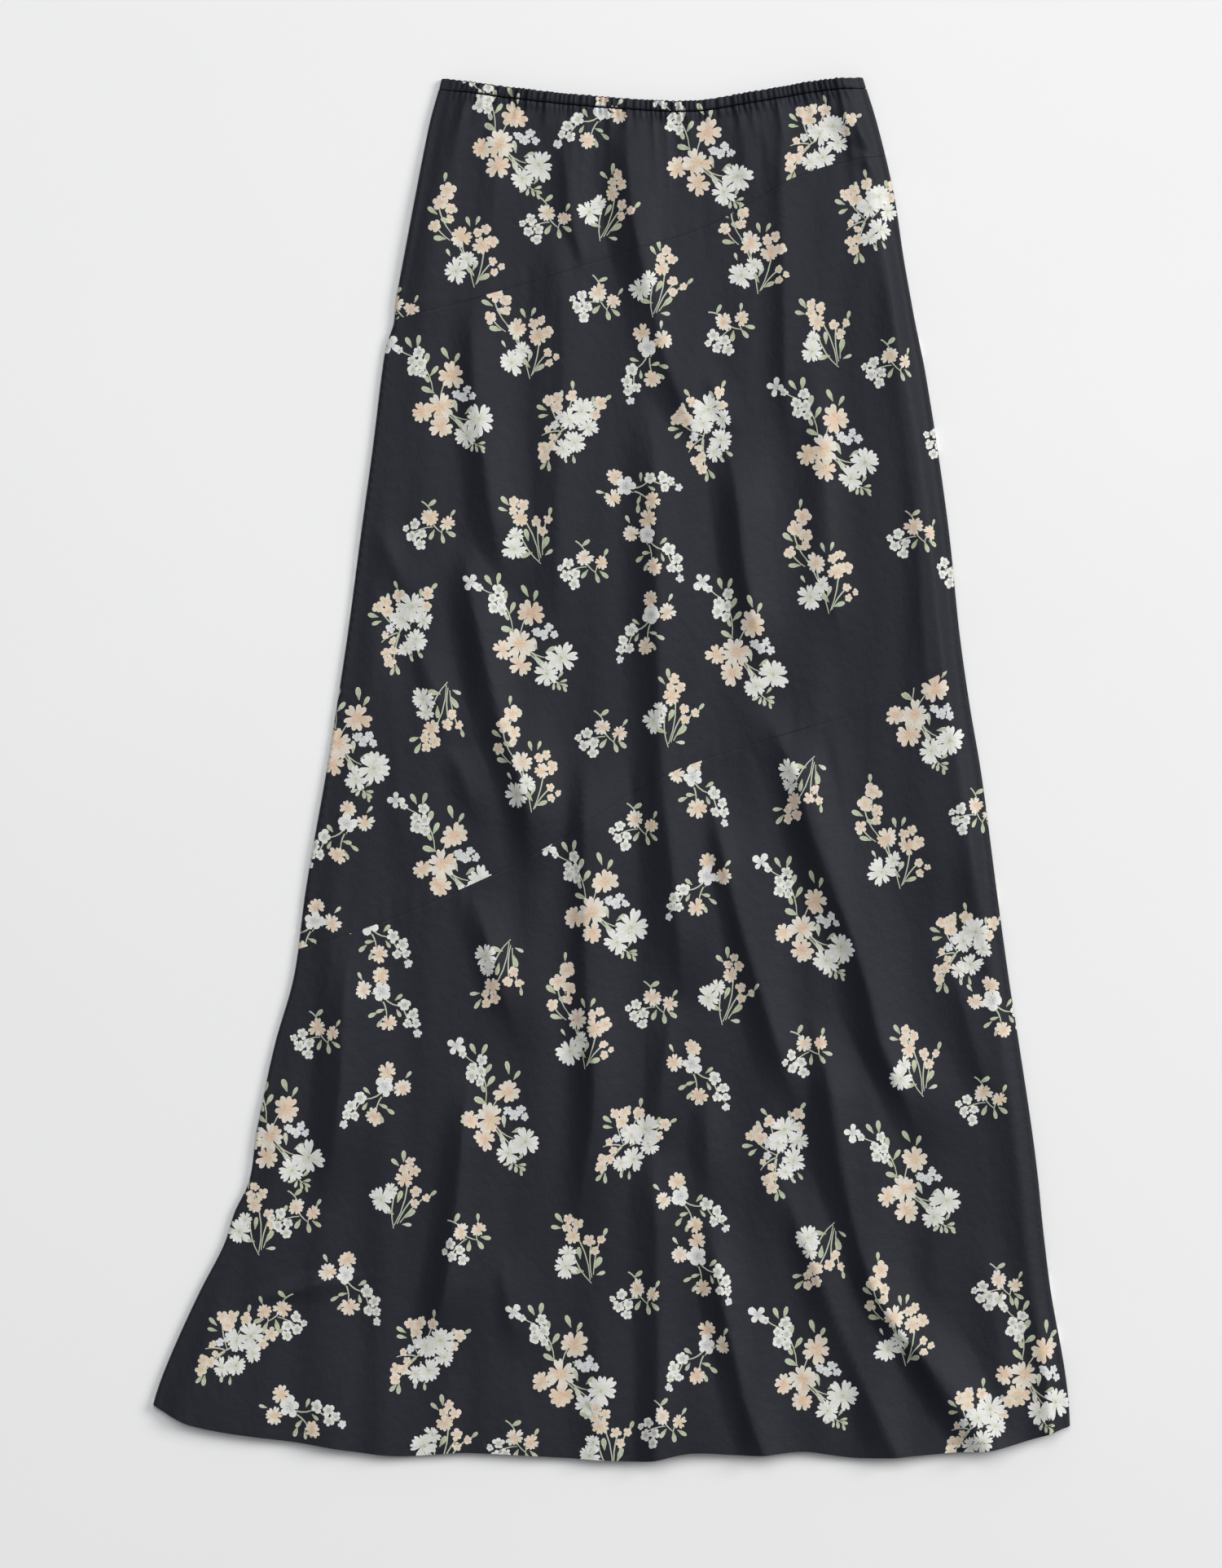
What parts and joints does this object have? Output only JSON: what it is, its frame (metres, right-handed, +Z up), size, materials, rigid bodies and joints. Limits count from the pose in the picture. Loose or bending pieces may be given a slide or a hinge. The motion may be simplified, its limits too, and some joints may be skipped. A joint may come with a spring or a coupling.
{
  "type": "maxi skirt",
  "caption": "Long flared pull-on skirt with a narrow gathered elastic waist, slanting panel seams and a small floral print, laid flat.",
  "frame": {"origin": "bottom centre of the skirt's box: on the surface, under the middle of the laid skirt", "axes": "+X to the right as one looks down on the front, +Y towards the waist, +Z up off the surface"},
  "size_m": [0.6449, 0.972, 0.0119],
  "materials": {
    "printed_cloth": "soft satin-faced viscose, dark navy-charcoal ground with cream, peach and sage flowers",
    "waist_cloth": "the same cloth gathered over elastic"
  },
  "bodies": {
    "root": {"waist_casing": "waist_cloth", "front_yoke": "printed_cloth", "front_middle": "printed_cloth", "front_lower": "printed_cloth", "back_yoke": "printed_cloth", "back_middle": "printed_cloth", "back_lower": "printed_cloth"}
  },
  "joints": []
}
